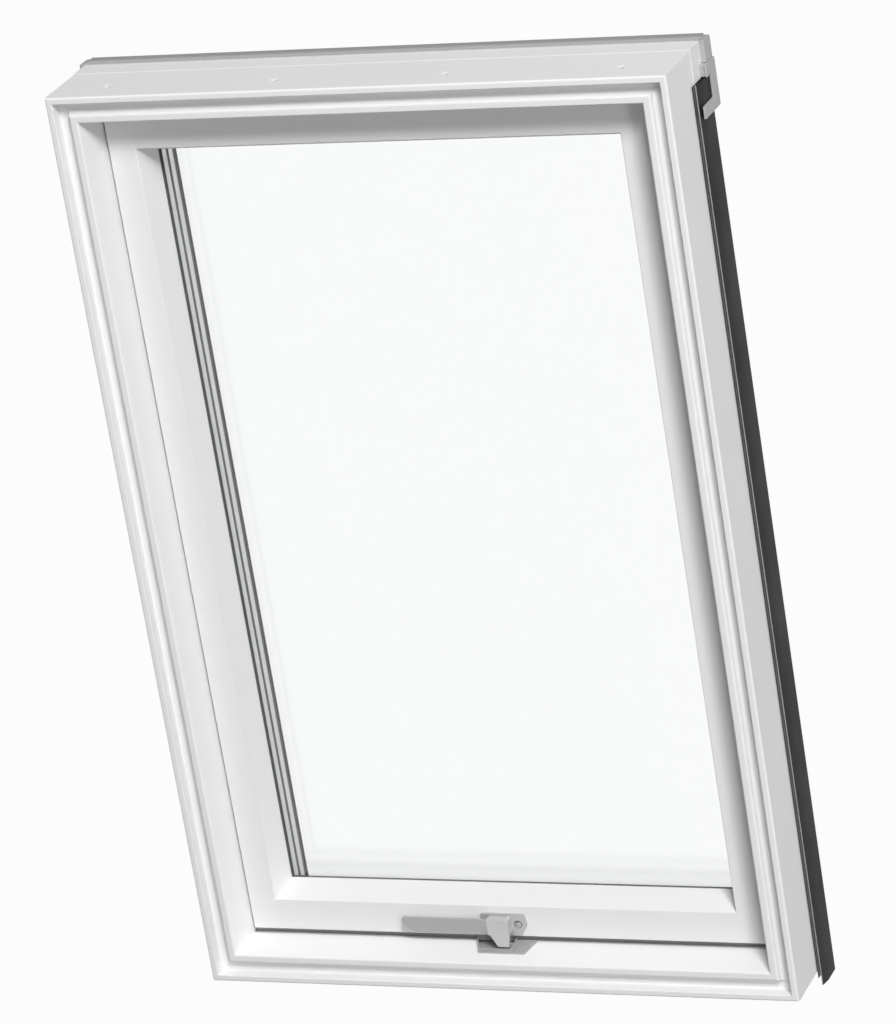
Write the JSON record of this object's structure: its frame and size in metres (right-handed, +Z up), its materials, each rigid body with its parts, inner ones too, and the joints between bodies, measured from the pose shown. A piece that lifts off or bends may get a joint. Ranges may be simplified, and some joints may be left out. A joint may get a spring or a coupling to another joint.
{
  "type": "roof window",
  "caption": "White plastic centre-pivot roof window with a triple-glazed sash on friction hinges, a lever handle with a keep on the sill, and dark metal cladding outside",
  "frame": {"origin": "centre of the frame's underside, at half the frame's width and half its depth", "axes": "X runs across the window to the right as seen from the room, Y runs outward from the room to the weather side, Z runs up the roof slope from the sill to the head"},
  "size_m": [0.798, 0.142, 1.2052],
  "materials": {
    "white_pvc": "satin",
    "steel": "zinc plated",
    "dark_cladding": "dark grey powder coat",
    "grey_casing": "light grey powder coat",
    "grey_plastic": "matt",
    "dark_plastic": "matt",
    "clear_glass": "clear float",
    "spacer_metal": "mill",
    "black_rubber": "matt",
    "grey_rubber": "matt",
    "washer_brass": "satin",
    "handle_metal": "satin silver grey"
  },
  "bodies": {
    "frame": {"frame_head": "white_pvc", "frame_sill": "white_pvc", "frame_jamb_left": "white_pvc", "frame_jamb_right": "white_pvc", "frame_steel_head": "steel", "frame_steel_sill": "steel", "frame_steel_left": "steel", "frame_steel_right": "steel", "hinge_frame_left": "steel", "hinge_frame_right": "steel", "keep_plate": "handle_metal", "keep_liner": "handle_metal", "side_strip_left": "dark_plastic", "side_strip_right": "dark_plastic", "side_cover_left": "dark_cladding", "side_cover_right": "dark_cladding", "sill_cover": "dark_cladding", "upper_cover_left": "dark_cladding", "upper_cover_right": "dark_cladding", "head_casing": "grey_casing", "casing_seal": "grey_rubber", "casing_cap_left": "grey_plastic", "casing_cap_right": "grey_plastic", "corner_clip_left": "grey_plastic", "corner_clip_right": "grey_plastic"},
    "sash": {"sash_top_rail": "white_pvc", "sash_bottom_rail": "white_pvc", "sash_stile_left": "white_pvc", "sash_stile_right": "white_pvc", "sash_steel_top": "steel", "sash_steel_bottom": "steel", "sash_steel_left": "steel", "sash_steel_right": "steel", "pane_inner": "clear_glass", "pane_middle": "clear_glass", "pane_outer": "clear_glass", "spacer_inner": "spacer_metal", "spacer_outer": "spacer_metal", "butyl_seals": "black_rubber", "edge_sealant": "black_rubber", "setting_blocks": "dark_plastic", "gasket_inner": "black_rubber", "gasket_outer": "black_rubber", "sash_seal": "black_rubber", "glazing_cap_top": "dark_cladding", "glazing_cap_bottom": "dark_cladding", "glazing_cap_left": "dark_cladding", "glazing_cap_right": "dark_cladding", "lower_cover_left": "dark_cladding", "lower_cover_right": "dark_cladding", "bottom_cover": "dark_cladding", "hinge_sash_left": "steel", "hinge_sash_right": "steel", "hinge_washers": "washer_brass", "handle_base": "handle_metal", "handle_rivet": "steel", "handle_screw": "steel"},
    "lever": {"handle_lever": "handle_metal"}
  },
  "joints": [
    {"name": "sash_pivot", "type": "hinge", "parent": "frame", "child": "sash", "pos_m": [0, 0.041, 0.5924], "axis": [1, 0, 0], "range_deg": [0, 130]},
    {"name": "handle_turn", "type": "hinge", "parent": "sash", "child": "lever", "pos_m": [0, -0.02, 0.071], "axis": [0, 1, 0], "range_deg": [0, 90]}
  ]
}
